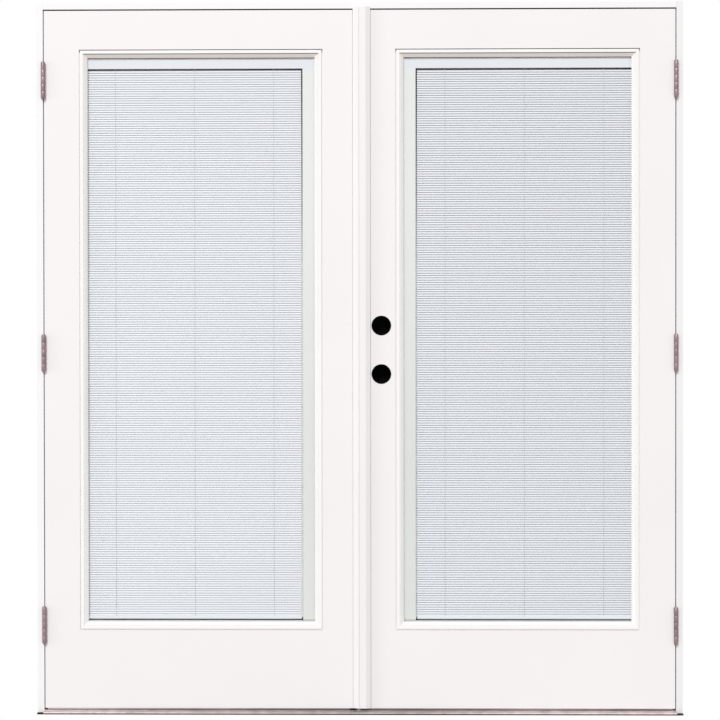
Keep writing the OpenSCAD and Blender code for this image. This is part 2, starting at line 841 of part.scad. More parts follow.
module headrail(side) {
    color(BLIND_WHITE) on_side(side) difference() {
        block([head_x0, blind_front_y, headrail_z0], [head_x1, blind_back_y, headrail_z1]);
        block([head_x0 + channel_wall, blind_front_y + channel_wall, headrail_z0 + channel_wall],
              [head_x1 - channel_wall, blind_back_y - channel_wall, headrail_z1 + 1]);
    }
}

module operator_channel(side) {
    color(CHANNEL_GREY) on_side(side) difference() {
        block([head_x0, blind_front_y, sill_bar_z], [channel_x1, blind_back_y, headrail_z0]);
        block([head_x0 - 1, blind_front_y + channel_wall, sill_bar_z - 1],
              [channel_x1 - channel_wall, blind_back_y - channel_wall, headrail_z0 + 1]);
    }
}

// Crowned slat in depth and height, its lower edge towards the outside
module slat_section() {
    half = slat_w / 2;
    rotate(slat_tilt) polygon([
        [-half, 0], [0, slat_crown], [half, 0], [half, slat_t], [0, slat_crown + slat_t], [-half, slat_t]
    ]);
}

module slats(side) {
    color(BLIND_WHITE) on_side(side) for (i = [0 : slat_steps])
        translate([0, blind_y, first_slat_z - i * slat_drop]) along_x(slat_x0, slat_x1) slat_section();
}

// Two upright cords at each ladder, in front of and behind the slats
module ladder_cords(side) {
    first = slat_x0 + ladder_inset;
    last = slat_x1 - ladder_inset;
    front_cord = blind_y + slat_lower_y - cord_air - cord_w;
    rear_cord = blind_y + slat_upper_y + cord_air;
    xs = [first, (first + last) / 2, last];
    color(BLIND_WHITE) on_side(side) for (x = xs, y = [front_cord, rear_cord])
        block([x - cord_w / 2, y, rail_z1 + cord_air], [x + cord_w / 2, y + cord_w, headrail_z0]);
}

module bottom_rail(side) {
    y0 = blind_y - rail_d / 2;
    y1 = blind_y + rail_d / 2;
    corner = 2;
    color(BLIND_WHITE) on_side(side) along_x(slat_x0, slat_x1) polygon([
        [y0, rail_z0 + corner], [y0 + corner, rail_z0], [y1 - corner, rail_z0], [y1, rail_z0 + corner],
        [y1, rail_z1 - corner], [y1 - corner, rail_z1], [y0 + corner, rail_z1], [y0, rail_z1 - corner]
    ]);
}

// Slider and track on the inner pane

track_x = head_x0 + channel_w / 2;
track_base_w = 20;
track_stem_w = 8;
track_head_w = 14;
track_step = 1.5;
slider_air = 0.3;
slider_drop = 12;
slider_z1 = headrail_z0 - slider_drop;
slider_z0 = slider_z1 - slider_h;

// Half-widths and heights of the track's T, grown by a gap
module track_tee(gap) {
    stem = track_stem_w / 2 + gap;
    head = track_head_w / 2 + gap;
    low = track_step * 2 - gap;
    high = track_step * 3 + gap;
    polygon([
        [-stem, track_step - touch], [stem, track_step - touch], [stem, low], [head, low], [head, high],
        [-head, high], [-head, low], [-stem, low]
    ]);
}

module operator_track(side) {
    end_room = 8;
    track_z0 = slider_z0 - raise_travel - end_room;
    color(WHITE) on_side(side) translate([track_x, glass_y1]) upright(track_z0, slider_z1 + end_room) {
        translate([-track_base_w / 2, 0]) square([track_base_w, track_step]);
        track_tee(0);
    }
}

module operator_slider(side) {
    slider_w = 24;
    slider_y0 = track_step + slider_air;
    slider_y1 = 13;
    corner = 3;
    color(WHITE) on_side(side) translate([track_x, glass_y1]) difference() {
        upright(slider_z0, slider_z1) difference() {
            polygon([
                [-slider_w / 2, slider_y0], [slider_w / 2, slider_y0], [slider_w / 2, slider_y1 - corner],
                [slider_w / 2 - corner, slider_y1], [corner - slider_w / 2, slider_y1],
                [-slider_w / 2, slider_y1 - corner]
            ]);
            track_tee(slider_air);
        }
        thumb_r = 60;
        thumb_depth = 3;
        translate([-slider_w, slider_y1 + thumb_r - thumb_depth, (slider_z0 + slider_z1) / 2])
            rotate([0, 90, 0]) cylinder(r = thumb_r, h = 2 * slider_w);
    }
}

// Draws one leaf's or one side's part by name
module leaf_part(side, part) {
    if (part == "slab") slab(side);
    if (part == "exterior_lite_frame") exterior_lite_frame(side);
    if (part == "interior_lite_frame") interior_lite_frame(side);
    if (part == "exterior_pane") exterior_pane(side);
    if (part == "interior_pane") interior_pane(side);
    if (part == "glass_spacer") glass_spacer(side);
    if (part == "light_seal") light_seal(side);
    if (part == "headrail") headrail(side);
    if (part == "operator_channel") operator_channel(side);
    if (part == "slats") slats(side);
    if (part == "ladder_cords") ladder_cords(side);
    if (part == "bottom_rail") bottom_rail(side);
    if (part == "operator_track") operator_track(side);
    if (part == "operator_slider") operator_slider(side);
    if (part == "astragal") astragal(side);
    if (part == "sweep") sweep(side);
    if (part == "door_hinges") door_hinges(side);
    if (part == "door_hinge_screws") door_hinge_screws(side);
    if (part == "frame_hinges") frame_hinges(side);
    if (part == "frame_hinge_screws") frame_hinge_screws(side);
    if (part == "hinge_pins") hinge_pins(side);
    if (part == "jamb") jamb(side);
    if (part == "weatherstrip") weatherstrip(side);
}

for (side = ["left", "right"], part = LEAF_PARTS)
    leaf_part(side, part);
head_jamb();
sill_pan();
threshold();
threshold_seal();
head_weatherstrip();
bolt_strike();
top_flush_bolt();
bottom_flush_bolt();
bolt_guides();
latch_strikes();
bore_caps();
meeting_seal();
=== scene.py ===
"""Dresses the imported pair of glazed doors: materials, slats, cords, screws, light and camera."""

import math
import random

import bmesh
import bpy
from mathutils import Matrix, Vector


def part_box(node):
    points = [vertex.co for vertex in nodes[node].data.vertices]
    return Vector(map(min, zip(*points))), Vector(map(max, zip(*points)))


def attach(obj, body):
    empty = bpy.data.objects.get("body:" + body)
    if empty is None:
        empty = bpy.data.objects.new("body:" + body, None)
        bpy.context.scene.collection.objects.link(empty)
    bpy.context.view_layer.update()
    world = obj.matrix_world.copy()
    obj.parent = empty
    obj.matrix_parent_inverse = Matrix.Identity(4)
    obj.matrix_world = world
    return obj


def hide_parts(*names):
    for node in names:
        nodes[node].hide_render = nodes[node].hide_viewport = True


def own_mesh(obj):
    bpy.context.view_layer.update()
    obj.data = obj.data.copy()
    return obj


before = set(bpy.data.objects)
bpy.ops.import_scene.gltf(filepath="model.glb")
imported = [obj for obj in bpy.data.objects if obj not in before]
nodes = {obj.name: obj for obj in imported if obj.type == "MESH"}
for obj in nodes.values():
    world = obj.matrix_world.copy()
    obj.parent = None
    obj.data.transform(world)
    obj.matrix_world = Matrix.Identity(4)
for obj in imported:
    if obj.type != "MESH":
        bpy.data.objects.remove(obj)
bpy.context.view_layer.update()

MM = 0.001
SIDES = ("left", "right")
rng = random.Random(7)

# Camera, placed against the photograph's frame
CAMERA_PLACE = (0.095, -6.0, 1.0813)
CAMERA_PITCH = -0.0100
CAMERA_YAW = 0.0156
CAMERA_ROLL = 0.0011
CAMERA_LENS = 103.16
SENSOR_W = 36

# Light, with each lamp's name, place, target, size in metres and power in watts
WORLD_LIGHT = 0.53
LAMPS = (
    ("key", (-15.0, -61.0, 48.6), (0.0, 0.0, 1.1), 22.0, 36900),
    ("back", (15.0, 61.0, 40.0), (0.0, 0.0, 1.1), 22.0, 15000),
    ("side", (-9.0, -2.7, 1.6), (0.2, 0.0, 1.0), 2.0, 60),
)

# Floor, with the marks between which it fades in from the front, the back and the sides
FLOOR_R = 3.0
FLOOR_FRONT = (-0.08, 0.04)
FLOOR_BACK = (2.2, 0.9)
FLOOR_SIDES = (0.91, 0.65)
FLOOR_GREY = (0.9, 0.9, 0.9)

# Blind, as in the solids
SLAT_PITCH = 6.66 * MM
SLAT_W = 8.0 * MM
SLAT_T = 0.35 * MM
SLAT_TILT = math.radians(70)
LADDER_INSET = 80 * MM
CORD_R = 0.45 * MM

# Finer form of the slats: columns across, those in shade, and shares of the width along a rounded end
SLAT_CROWN = 0.6 * MM
SLAT_COLUMNS = 7
SHADED_COLUMNS = (4, 5)
SLAT_ENDS = ((0.0, 0.80), (0.3 * MM, 0.93), (0.8 * MM, 1.0))

# Frame and leaves, as in the solids
STOP_W = 12.7 * MM
REBATE_D = 4 * MM


def scaled(colour, share):
    """The colour times a share."""
    return tuple(channel * share for channel in colour)


# Colours, linear
LEAF_WHITE = (0.93, 0.895, 0.90)
FRAME_WHITE = (0.946, 0.927, 0.935)
LITE_WHITE = (0.965, 0.945, 0.935)
BLIND_WHITE = (0.855, 0.822, 0.878)
RAIL_WHITE = (0.893, 0.865, 0.92)
CHANNEL_WHITE = (0.925, 0.882, 0.88)
OPERATOR_WHITE = (0.87, 0.87, 0.85)
CORD_WHITE = (0.93, 0.94, 0.95)
SPACER_PALE = (0.80, 0.79, 0.78)
# Painted shade for the spacer's top bar
SPACER_PAINTED_SHADE = (0.50, 0.42, 0.43)
SEAL_GREY = (0.20, 0.17, 0.165)
BEDDING_PALE = (0.93, 0.92, 0.91)
# Painted shade for the bedding along the top
BEDDING_PAINTED_SHADE = (0.16, 0.155, 0.15)
# Grey of the strip's sealant bead, dark enough to stand for the shade line at the strip's foot
SEALANT_SHADE_GREY = (0.42, 0.40, 0.40)
SWEEP_TAN = (0.93, 0.87, 0.85)
RAW_WOOD = (0.10, 0.08, 0.076)
# Pale pile down the slats' sides, a painted light in the shaded gap
PILE_PAINTED_LIGHT = (0.93, 0.93, 0.92)
PILE_BLACK = (0.012, 0.012, 0.014)
CAP_BLACK = (0.006, 0.006, 0.006)
PAN_DARK = (0.014, 0.011, 0.011)
NICKEL = (0.325, 0.235, 0.25)
ALUMINIUM = (0.74, 0.635, 0.63)
GLASS_TINT = (0.965, 0.985, 0.98)

# Painted shade and plain darker or tinted stretches: shares of a colour, at marks in metres along X or Z
FULL_TONE = (1.0, 1.0, 1.0)
WARM_SHADE = (1.0, 0.945, 0.90)
# Share for the dark line of painted shade in the bead groove
BEAD_PAINTED_SHADE = (0.42, 0.41, 0.39)
# Painted shadow of the meeting strip across the right slab, darkest at the strip and gone 85 mm from it
STRIP_PAINTED_SHADOW = (
    (-0.002, FULL_TONE), (0.0, scaled(FULL_TONE, 0.93)), (0.045, scaled(FULL_TONE, 0.94)), (0.060, scaled(FULL_TONE, 0.965)),
    (0.085, FULL_TONE),
)
# Painted shade along the top of each exterior lite frame: a warm shade on the downward bezel slope and a
# dark line in the bead groove above it
LEDGE_PAINTED_SHADE = (
    (1.8880, FULL_TONE), (1.8925, WARM_SHADE), (1.9026, WARM_SHADE), (1.9032, BEAD_PAINTED_SHADE), (1.9050, BEAD_PAINTED_SHADE),
    (1.9056, FULL_TONE),
)
# Middle of each lite from the meeting edge, and how far to each side of it the painted shade reaches
LEDGE_MIDDLE = 0.456
LEDGE_HALF_W = 0.339
FRAME_SHADE = ((-0.3, FULL_TONE), (0.3, (0.945, 0.945, 0.937)))
# Cords darker from 0.6 m up as painted shade, evening them with the lower cords, which read darker from
# their shadows
CORD_PAINTED_SHADE = ((0.60, FULL_TONE), (1.20, scaled(FULL_TONE, 0.84)))
# Sweeps darker from 0.45 m left of the middle up to it, and as dark across the right
SWEEP_DARKER_RIGHT = ((-0.45, FULL_TONE), (0.0, scaled(FULL_TONE, 0.55)))
# Threshold darker towards the middle, more so over the left half
DECK_DARKER_MIDDLE = (
    (-0.85, scaled(FULL_TONE, 0.88)), (-0.50, scaled(FULL_TONE, 0.70)), (0.0, scaled(FULL_TONE, 0.60)),
    (0.20, scaled(FULL_TONE, 0.62)), (0.45, scaled(FULL_TONE, 0.92)), (0.80, FULL_TONE),
)
# Painted shade on the head jamb's rabbet underside, a dark stripe for the shaded gap above the leaves
HEAD_PAINTED_SHADE = scaled(FULL_TONE, 0.15)
HEAD_SHADE_BELOW = 0.5 * MM
HEAD_SHADE_ABOVE = 0.8 * MM
HEAD_SHADE_EDGE = 0.1 * MM
# Operator channel: a dark band of painted shadow at its foot against the lite frame, and a little darker and
# yellower below 0.8 m, fading out by 1.5 m
CHANNEL_LOWER_TONE = (0.915, 0.912, 0.887)
CHANNEL_FOOT_SHADE = scaled(CHANNEL_LOWER_TONE, 0.45)
CHANNEL_FOOT_H = 3.5 * MM
CHANNEL_FOOT_EDGE = 1.0 * MM
CHANNEL_LOWER_TONE_Z = 0.80
CHANNEL_PLAIN_Z = 1.50
LEFT_SLAT_SHADE = 0.66
RIGHT_SLAT_SHADE = 0.40

# Tones of the seals and the bedding, with their painted light and shade, at marks in metres along Z
# Spacer pale, with a thin black band of painted shadow under the bottom rail and a darker top as painted
# shade
SPACER_TONES_AND_SHADE = (
    (0.2676, SPACER_PALE), (0.2680, PILE_BLACK), (0.2700, PILE_BLACK), (0.2712, SPACER_PALE),
    (1.8700, SPACER_PALE), (1.8850, SPACER_PAINTED_SHADE),
)
# Bedding pale, dark along the top of the lite frames as painted shade
BEDDING_TONES_AND_SHADE = ((0.26, BEDDING_PALE), (1.905, BEDDING_PALE), (1.912, BEDDING_PAINTED_SHADE))
# Pile beside the operator strip: pale as painted light low down, darkening upwards as painted shade
PILE_STRIP_LIGHT_AND_SHADE = (
    (0.2745, PILE_BLACK), (0.2790, PILE_PAINTED_LIGHT), (1.2800, PILE_PAINTED_LIGHT), (1.4850, scaled(PILE_PAINTED_LIGHT, 0.55)),
    (1.6850, scaled(PILE_PAINTED_LIGHT, 0.27)), (1.7700, scaled(PILE_PAINTED_LIGHT, 0.09)), (1.8550, PILE_BLACK),
)
# Pile beside the stiles: pale as painted light between its black ends
PILE_STILE_LIGHT_AND_SHADE = (
    (0.2745, PILE_BLACK), (0.2790, PILE_PAINTED_LIGHT), (1.8500, PILE_PAINTED_LIGHT), (1.8570, PILE_BLACK),
)
PILE_STILE_X = 0.45


# Materials

def add_node(tree, kind, inputs=None, **settings):
    """Adds a shader node, with its settings and its plain input values."""
    node = tree.nodes.new(kind)
    for name, value in settings.items():
        setattr(node, name, value)
    for name, value in (inputs or {}).items():
        node.inputs[name].default_value = value
    return node


def new_material(name):
    """A material with its tree and its Principled shader."""
    material = bpy.data.materials.new(name)
    material.use_nodes = True
    return material, material.node_tree, material.node_tree.nodes["Principled BSDF"]


def object_noise(tree, scale, stretch=(1, 1, 1), detail=4.0):
    """Noise over the object's own metres, stretched along its axes."""
    place = add_node(tree, "ShaderNodeTexCoord")
    mapping = add_node(tree, "ShaderNodeMapping", {"Scale": stretch})
    noise = add_node(tree, "ShaderNodeTexNoise", {"Scale": scale, "Detail": detail})
    tree.links.new(place.outputs["Object"], mapping.inputs["Vector"])
    tree.links.new(mapping.outputs["Vector"], noise.inputs["Vector"])
    return noise.outputs["Fac"]


def ramp(tree, source, low, high, start=0.3, end=0.7):
    """Colour ramp between two colours over a stretch of a value."""
    node = add_node(tree, "ShaderNodeValToRGB")
    node.color_ramp.elements[0].position = start
    node.color_ramp.elements[0].color = (*low, 1)
    node.color_ramp.elements[1].position = end
    node.color_ramp.elements[1].color = (*high, 1)
    tree.links.new(source, node.inputs["Fac"])
    return node.outputs["Color"]


def spread(tree, source, low, high):
    """Value spread from low to high."""
    node = add_node(tree, "ShaderNodeMapRange", {"To Min": low, "To Max": high})
    tree.links.new(source, node.inputs["Value"])
    return node.outputs["Result"]


def rise(tree, source, start, end):
    """0 where a value is before its start, 1 beyond its end."""
    node = add_node(tree, "ShaderNodeMapRange", {"From Min": start, "From Max": end})
    tree.links.new(source, node.inputs["Value"])
    return node.outputs["Result"]


def product(tree, first, second):
    """Product of two values."""
    node = add_node(tree, "ShaderNodeMath", operation="MULTIPLY")
    tree.links.new(first, node.inputs[0])
    tree.links.new(second, node.inputs[1])
    return node.outputs["Value"]


def bump(tree, shader, height, strength, distance):
    """Bump from a height, into the shader's normal."""
    node = add_node(tree, "ShaderNodeBump", {"Strength": strength, "Distance": distance})
    tree.links.new(height, node.inputs["Height"])
    tree.links.new(node.outputs["Normal"], shader.inputs["Normal"])


def axis(tree, name):
    """One of the object's own coordinates, in metres."""
    place = add_node(tree, "ShaderNodeTexCoord")
    axes = add_node(tree, "ShaderNodeSeparateXYZ")
    tree.links.new(place.outputs["Object"], axes.inputs["Vector"])
    return axes.outputs[name]


def bands(tree, source, stops):
    """Colours at marks of a value, with straight changes between them."""
    low, high = stops[0][0], stops[-1][0]
    share = add_node(tree, "ShaderNodeMapRange", {"From Min": low, "From Max": high})
    tree.links.new(source, share.inputs["Value"])
    node = add_node(tree, "ShaderNodeValToRGB")
    elements = node.color_ramp.elements
    elements.remove(elements[1])
    for i, (mark, colour) in enumerate(stops):
        position = (mark - low) / (high - low)
        element = elements.new(position) if i else elements[0]
        element.position = position
        element.color = (*colour, 1)
    tree.links.new(share.outputs["Result"], node.inputs["Fac"])
    return node.outputs["Color"]


def between(tree, factor, first, second):
    """The first colour where the factor is 0, the second where it is 1."""
    node = add_node(tree, "ShaderNodeMixRGB")
    tree.links.new(factor, node.inputs["Fac"])
    tree.links.new(first, node.inputs["Color1"])
    tree.links.new(second, node.inputs["Color2"])
    return node.outputs["Color"]


def far_from(tree, source, middle, reach):
    """1 where a value is further than a reach from its middle, else 0."""
    offset = add_node(tree, "ShaderNodeMath", operation="SUBTRACT")
    size = add_node(tree, "ShaderNodeMath", operation="ABSOLUTE")
    beyond = add_node(tree, "ShaderNodeMath", operation="GREATER_THAN")
    offset.inputs[1].default_value = middle
    beyond.inputs[1].default_value = reach
    tree.links.new(source, offset.inputs[0])
    tree.links.new(offset.outputs["Value"], size.inputs[0])
    tree.links.new(size.outputs["Value"], beyond.inputs[0])
    return beyond.outputs["Value"]


def dulled_and_shaded(tree, tone, axis_name, stops, reach=None):
    """The tone dulled by shares at marks along an axis, for painted shade and plain darker stretches, at
    need only in a reach of each leaf's width.
    """
    node = add_node(tree, "ShaderNodeMixRGB", {"Fac": 1.0}, blend_type="MULTIPLY")
    tree.links.new(tone, node.inputs["Color1"])
    tree.links.new(bands(tree, axis(tree, axis_name), stops), node.inputs["Color2"])
    dulled = node.outputs["Color"]
    if reach:
        distance = add_node(tree, "ShaderNodeMath", operation="ABSOLUTE")
        tree.links.new(axis(tree, "X"), distance.inputs[0])
        dulled = between(tree, far_from(tree, distance.outputs["Value"], *reach), dulled, tone)
    return dulled


def mix_shaders(tree, factor, first, second):
    """Surface of the first shader where the factor is 0, of the second where it is 1."""
    mix = add_node(tree, "ShaderNodeMixShader")
    tree.links.new(factor, mix.inputs["Fac"])
    tree.links.new(first.outputs["BSDF"], mix.inputs[1])
    tree.links.new(second.outputs["BSDF"], mix.inputs[2])
    tree.links.new(mix.outputs["Shader"], tree.nodes["Material Output"].inputs["Surface"])


def any_ray(tree, rays):
    """1 for a ray of any of the kinds named, else 0."""
    path = add_node(tree, "ShaderNodeLightPath")
    found = path.outputs[rays[0]]
    for ray in rays[1:]:
        either = add_node(tree, "ShaderNodeMath", operation="MAXIMUM")
        tree.links.new(found, either.inputs[0])
        tree.links.new(path.outputs[ray], either.inputs[1])
        found = either.outputs["Value"]
    return found


def paint(name, colour, roughness, grain, grain_stretch=(1, 1, 1), bare_top=None, dulling_and_shade=None):
    """Satin paint or moulding: mottled, uneven in gloss, with a bare wooden top, and at need bands of
    painted shade and darker tint.
    """
    cloud_scale = 2.3
    cloud_share = 0.975
    wood_scale = 9
    wood_stretch = (1, 14, 14)
    wood_share = 0.6
    bare_start = 0.3 * MM
    bare_end = 0.1 * MM
    gloss_scale = 60
    gloss_swing = 0.06
    material, tree, shader = new_material(name)
    cloud = object_noise(tree, cloud_scale)
    tone = ramp(tree, cloud, scaled(colour, cloud_share), colour)
    if bare_top:
        rings = object_noise(tree, wood_scale, wood_stretch)
        wood = ramp(tree, rings, scaled(RAW_WOOD, wood_share), RAW_WOOD)
        on_top = rise(tree, axis(tree, "Z"), bare_top - bare_start, bare_top - bare_end)
        tone = between(tree, on_top, tone, wood)
    if dulling_and_shade:
        tone = dulled_and_shaded(tree, tone, *dulling_and_shade)
    tree.links.new(tone, shader.inputs["Base Color"])
    gloss = object_noise(tree, gloss_scale, grain_stretch)
    uneven = spread(tree, gloss, roughness - gloss_swing, roughness + gloss_swing)
    tree.links.new(uneven, shader.inputs["Roughness"])
    skin = object_noise(tree, grain, grain_stretch, detail=2.0)
    bump(tree, shader, skin, strength=0.12, distance=0.15 * MM)
    return material


def brushed_metal(name, colour, roughness, stretch, scale, dulling_and_shade=None):
    """Metal with fine lines along one axis and patchy tarnish."""
    tarnish_scale = 35
    tarnish_share = 0.72
    gloss_swing = 0.1
    material, tree, shader = new_material(name)
    shader.inputs["Metallic"].default_value = 1.0
    tarnish = object_noise(tree, tarnish_scale)
    tone = ramp(tree, tarnish, scaled(colour, tarnish_share), colour)
    if dulling_and_shade:
        tone = dulled_and_shaded(tree, tone, *dulling_and_shade)
    tree.links.new(tone, shader.inputs["Base Color"])
    lines = object_noise(tree, scale, stretch, detail=3.0)
    uneven = spread(tree, lines, roughness - gloss_swing, roughness + gloss_swing)
    tree.links.new(uneven, shader.inputs["Roughness"])
    bump(tree, shader, lines, strength=0.2, distance=0.1 * MM)
    return material


def soft_material(name, grain, specular):
    """Matt material with a soft skin, its colour still to come."""
    material, tree, shader = new_material(name)
    shader.inputs["Roughness"].default_value = 0.75
    shader.inputs["Specular IOR Level"].default_value = specular
    skin = object_noise(tree, grain)
    bump(tree, shader, skin, strength=0.4, distance=0.3 * MM)
    return material, tree, shader


def rubber(name, colour, grain, specular=0.3, mottle_scale=45, dark_share=0.6, dulling_and_shade=None):
    """Vinyl, sealant or dark moulding: matt and uneven in tone."""
    material, tree, shader = soft_material(name, grain, specular)
    mottle = object_noise(tree, mottle_scale)
    tone = ramp(tree, mottle, scaled(colour, dark_share), colour)
    if dulling_and_shade:
        tone = dulled_and_shaded(tree, tone, *dulling_and_shade)
    tree.links.new(tone, shader.inputs["Base Color"])
    return material


def banded_foam(name, grain, specular, tones):
    """Foam whose tone changes with its height, painted shade included."""
    material, tree, shader = soft_material(name, grain, specular)
    tree.links.new(bands(tree, axis(tree, "Z"), tones), shader.inputs["Base Color"])
    return material


def pile_seal():
    """Black pile above and below the slats, pale down their sides as painted light, and beside the operator
    strip darkening to black towards the top as painted shade.
    """
    material, tree, shader = soft_material("pile_seal", grain=900, specular=0.2)
    height = axis(tree, "Z")
    beside_strip = bands(tree, height, PILE_STRIP_LIGHT_AND_SHADE)
    beside_stile = bands(tree, height, PILE_STILE_LIGHT_AND_SHADE)
    outer = far_from(tree, axis(tree, "X"), 0.0, PILE_STILE_X)
    tree.links.new(between(tree, outer, beside_strip, beside_stile), shader.inputs["Base Color"])
    return material


def slat_enamel(name, colour):
    """Enamel on the slats: each slat a little different in tone."""
    batch_stretch = (0.15, 0.0, 150.0)
    batch_share = 0.96
    skin_scale = 300
    material, tree, shader = new_material(name)
    shader.inputs["Roughness"].default_value = 0.4
    batch = object_noise(tree, 1.0, batch_stretch, detail=1.0)
    tone = ramp(tree, batch, scaled(colour, batch_share), colour)
    tree.links.new(tone, shader.inputs["Base Color"])
    skin = object_noise(tree, skin_scale)
    bump(tree, shader, skin, strength=0.05, distance=0.05 * MM)
    return material


def braid(name, colour, height_shade):
    """Braided cord: bands across its length, darkened higher up by painted shade."""
    dark_share = 0.8
    material, tree, shader = new_material(name)
    shader.inputs["Roughness"].default_value = 0.8
    place = add_node(tree, "ShaderNodeTexCoord")
    wave = add_node(tree, "ShaderNodeTexWave", {"Scale": 400.0, "Distortion": 2.0})
    wave.bands_direction = "DIAGONAL"
    tree.links.new(place.outputs["Object"], wave.inputs["Vector"])
    tone = ramp(tree, wave.outputs["Fac"], scaled(colour, dark_share), colour)
    tree.links.new(dulled_and_shaded(tree, tone, "Z", height_shade), shader.inputs["Base Color"])
    bump(tree, shader, wave.outputs["Fac"], strength=0.4, distance=0.1 * MM)
    return material


def clear_glass(name, tint):
    """Float glass that shadow, diffuse and glossy rays pass straight through."""
    ripple_scale = 1.5
    material, tree, shader = new_material(name)
    shader.inputs["Base Color"].default_value = (*tint, 1)
    shader.inputs["Transmission Weight"].default_value = 1.0
    shader.inputs["IOR"].default_value = 1.33
    shader.inputs["Roughness"].default_value = 0.0
    ripple = object_noise(tree, ripple_scale)
    bump(tree, shader, ripple, strength=0.02, distance=0.2 * MM)
    through = add_node(tree, "ShaderNodeBsdfTransparent", {"Color": (*tint, 1)})
    lighting = any_ray(tree, ("Is Diffuse Ray", "Is Glossy Ray", "Is Shadow Ray"))
    mix_shaders(tree, lighting, shader, through)
    return material


slab_low, slab_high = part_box("left_slab")
# Slab paint, with the meeting strip's painted shadow on the right slab
slab_paint = paint(
    "slab_paint", LEAF_WHITE, roughness=0.42, grain=520, bare_top=slab_high.z, dulling_and_shade=("X", STRIP_PAINTED_SHADOW),
)
leaf_paint = paint("leaf_paint", LEAF_WHITE, roughness=0.42, grain=520)
frame_paint = paint(
    "frame_paint", FRAME_WHITE, roughness=0.45, grain=300, grain_stretch=(6, 6, 1), dulling_and_shade=("X", FRAME_SHADE),
)
head_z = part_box("head_jamb")[0].z + STOP_W
# Stripe of painted shade at the head jamb's rabbet underside
head_painted_shade = (
    (head_z - HEAD_SHADE_BELOW - HEAD_SHADE_EDGE, FULL_TONE), (head_z - HEAD_SHADE_BELOW, HEAD_PAINTED_SHADE),
    (head_z + HEAD_SHADE_ABOVE, HEAD_PAINTED_SHADE), (head_z + HEAD_SHADE_ABOVE + HEAD_SHADE_EDGE, FULL_TONE),
)
head_paint = paint(
    "head_paint", FRAME_WHITE, roughness=0.45, grain=300, grain_stretch=(1, 6, 6), dulling_and_shade=("Z", head_painted_shade),
)
lite_plastic = paint("lite_plastic", LITE_WHITE, roughness=0.36, grain=900)
# Exterior lite frames with painted shade along their top, on the bezel slope and in the bead groove
ledge_painted_shade = ("Z", LEDGE_PAINTED_SHADE, (LEDGE_MIDDLE, LEDGE_HALF_W))
top_shaded_lite = paint("top_shaded_lite", LITE_WHITE, roughness=0.36, grain=900, dulling_and_shade=ledge_painted_shade)
operator_plastic = paint("operator_plastic", OPERATOR_WHITE, roughness=0.40, grain=800)
channel_low_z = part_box("left_operator_channel")[0].z
channel_foot_z = channel_low_z + CHANNEL_FOOT_H
# Channel with the painted shadow at its foot and its darker lower tone
channel_shade_and_tone = (
    (channel_low_z, CHANNEL_FOOT_SHADE), (channel_foot_z, CHANNEL_FOOT_SHADE),
    (channel_foot_z + CHANNEL_FOOT_EDGE, CHANNEL_LOWER_TONE), (CHANNEL_LOWER_TONE_Z, CHANNEL_LOWER_TONE),
    (CHANNEL_PLAIN_Z, FULL_TONE),
)
channel_enamel = paint(
    "channel_enamel", CHANNEL_WHITE, roughness=0.38, grain=700, dulling_and_shade=("Z", channel_shade_and_tone),
)
rail_enamel = paint("rail_enamel", RAIL_WHITE, roughness=0.38, grain=700)
slat_paint = slat_enamel("slat_paint", BLIND_WHITE)
slat_shades = {
    "left": slat_enamel("slat_shade", scaled(BLIND_WHITE, LEFT_SLAT_SHADE)),
    "right": slat_enamel("slat_shade_deep", scaled(BLIND_WHITE, RIGHT_SLAT_SHADE)),
}
cord_braid = braid("cord_braid", CORD_WHITE, CORD_PAINTED_SHADE)
spacer = banded_foam("spacer_foam", grain=600, specular=0.3, tones=SPACER_TONES_AND_SHADE)
bedding = banded_foam("bedding_foam", grain=700, specular=0.2, tones=BEDDING_TONES_AND_SHADE)
pile = pile_seal()
seal_vinyl = rubber("seal_vinyl", SEAL_GREY, grain=500)
sealant = rubber("sealant", SEALANT_SHADE_GREY, grain=500)
sweep_vinyl = rubber(
    "sweep_vinyl", SWEEP_TAN, grain=500, mottle_scale=3.0, dark_share=0.5, dulling_and_shade=("X", SWEEP_DARKER_RIGHT),
)
cap_plastic = rubber("cap_plastic", CAP_BLACK, grain=800, specular=0.05)
pan_composite = rubber("pan_composite", PAN_DARK, grain=350)
nickel = brushed_metal("nickel", NICKEL, roughness=0.48, stretch=(1, 1, 14), scale=260)
aluminium = brushed_metal(
    "aluminium", ALUMINIUM, roughness=0.42, stretch=(1, 30, 30), scale=40, dulling_and_shade=("X", DECK_DARKER_MIDDLE),
)
glass = clear_glass("glass", GLASS_TINT)

LEAF_MATERIALS = {
    "slab": slab_paint, "astragal": leaf_paint, "jamb": frame_paint, "exterior_lite_frame": top_shaded_lite,
    "interior_lite_frame": lite_plastic, "exterior_pane": glass, "interior_pane": glass,
    "glass_spacer": spacer, "light_seal": pile, "headrail": rail_enamel, "bottom_rail": rail_enamel,
    "operator_channel": channel_enamel, "operator_track": operator_plastic,
    "operator_slider": operator_plastic, "slats": slat_paint, "ladder_cords": cord_braid,
    "sweep": sweep_vinyl, "weatherstrip": seal_vinyl, "door_hinges": nickel, "frame_hinges": nickel,
    "hinge_pins": nickel, "door_hinge_screws": nickel, "frame_hinge_screws": nickel,
}
SINGLE_MATERIALS = {
    "head_jamb": head_paint, "sill_pan": pan_composite, "threshold": aluminium, "threshold_seal": seal_vinyl,
    "head_weatherstrip": seal_vinyl, "bolt_strike": nickel, "top_flush_bolt": nickel,
    "bottom_flush_bolt": nickel, "bolt_guides": nickel, "latch_strikes": nickel, "bore_caps": cap_plastic,
    "meeting_seal": seal_vinyl,
}
LEAF_EDGES = {
    "slab": 0.8 * MM, "jamb": 0.8 * MM, "exterior_lite_frame": 0.35 * MM, "interior_lite_frame": 0.35 * MM,
    "frame_hinges": 0.4 * MM, "door_hinges": 0.4 * MM, "operator_slider": 0.5 * MM,
}
